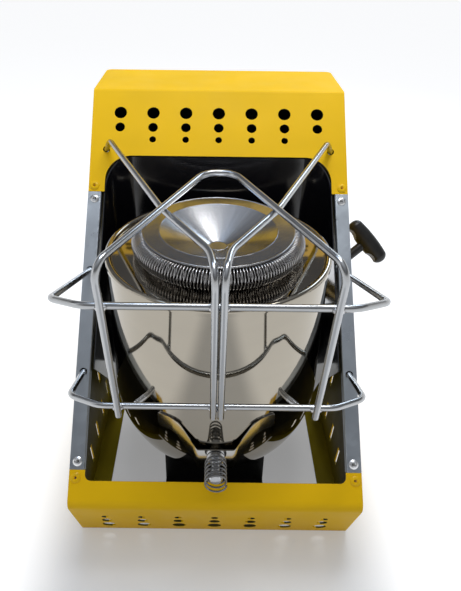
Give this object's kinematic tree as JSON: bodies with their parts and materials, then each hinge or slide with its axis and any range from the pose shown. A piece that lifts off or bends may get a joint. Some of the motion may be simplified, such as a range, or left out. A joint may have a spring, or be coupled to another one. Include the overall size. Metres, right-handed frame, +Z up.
{
  "type": "portable propane heater",
  "caption": "Tabletop gas heater: upright burner bowl in a wedge-shaped vented sheet stand, with wire guard, heat shield, spring grip and side tap.",
  "frame": {"origin": "on the floor right under the burner axis, on the underside of the base strap", "axes": "+X to the right as seen from the guard side, +Y to the back, +Z up"},
  "size_m": [0.237, 0.2971, 0.263],
  "materials": {
    "yellow_paint": "smooth powder coat, semi gloss",
    "yellow_rivet": "painted blind rivet",
    "galvanised": "galvanised sheet, faint spangle",
    "rivet_alloy": "plain blind rivet",
    "black_enamel": "glossy heat resistant enamel",
    "black_paint": "satin black",
    "plated_wire": "satin nickel plated wire",
    "polished_steel": "mirror polished stainless steel",
    "brushed_steel": "radially brushed stainless steel",
    "oxidised_steel": "heat darkened steel",
    "heating_wire": "bright heat resistant wire",
    "plated_sheet": "zinc plated sheet",
    "zinc": "zinc plated hardware",
    "brass": "turned brass",
    "steel_rod": "drawn steel",
    "black_plastic": "moulded heat resistant plastic"
  },
  "bodies": {
    "stand": {"base_strap": "black_paint", "bowl_rivet_left": "rivet_alloy", "bowl_rivet_right": "rivet_alloy", "bowl_screw_left": "zinc", "bowl_screw_right": "zinc", "bowl_stand": "black_paint", "burner_bowl": "polished_steel", "burner_head": "oxidised_steel", "burner_mesh": "oxidised_steel", "burner_tube": "oxidised_steel", "cap_rivet_front_left": "yellow_rivet", "cap_rivet_front_right": "yellow_rivet", "cap_rivet_rear_left": "yellow_rivet", "cap_rivet_rear_right": "yellow_rivet", "flame_spreader": "brushed_steel", "front_cap": "yellow_paint", "gas_pipe": "steel_rod", "gland_nut": "brass", "glow_coil": "heating_wire", "guard_centre_wire_left": "plated_wire", "guard_centre_wire_right": "plated_wire", "guard_house_wire": "plated_wire", "guard_lower_bar": "plated_wire", "guard_upper_bar": "plated_wire", "handle_bracket": "plated_sheet", "handle_nut": "zinc", "handle_screw": "zinc", "handle_spring": "zinc", "heat_shield": "black_enamel", "inlet_connector": "brass", "jet": "brass", "jet_holder": "brass", "left_rail": "galvanised", "left_side_wall": "yellow_paint", "rail_rivet_front_left": "rivet_alloy", "rail_rivet_front_right": "rivet_alloy", "rail_rivet_rear_left": "rivet_alloy", "rail_rivet_rear_right": "rivet_alloy", "rear_cap": "yellow_paint", "rear_panel": "black_paint", "rear_tie": "black_paint", "right_rail": "galvanised", "right_side_wall": "yellow_paint", "ring_plate": "polished_steel", "shield_spacer_high_left": "zinc", "shield_spacer_high_right": "zinc", "shield_spacer_low_left": "zinc", "shield_spacer_low_right": "zinc", "spreader_post_1": "brushed_steel", "spreader_post_2": "brushed_steel", "spreader_post_3": "brushed_steel", "valve_body": "brass", "valve_bracket": "black_paint", "valve_rivet_1": "rivet_alloy", "valve_rivet_2": "rivet_alloy"},
    "tap": {"valve_handle": "black_plastic", "valve_spindle": "steel_rod"},
    "needle": {"valve_needle": "steel_rod"},
    "union": {"inlet_nut": "brass"}
  },
  "joints": [
    {"name": "tap_turn", "type": "hinge", "parent": "stand", "child": "tap", "pos_m": [0.0953, 0.0772, 0.12985], "axis": [0.777, 0.346, 0.526], "range_deg": [0, 270]},
    {"name": "needle_travel", "type": "slide", "parent": "stand", "child": "needle", "axis": [0.777, 0.346, 0.526], "range_m": [0, 0.0012]},
    {"name": "union_turn", "type": "hinge", "parent": "stand", "child": "union", "pos_m": [0.07665, 0.0689, 0.11723], "axis": [0, 0.8355, -0.5496], "continuous": true}
  ],
  "couplings": [
    {"joint": "needle_travel", "follows": "tap_turn", "m_per_rad": 0.0002334}
  ]
}
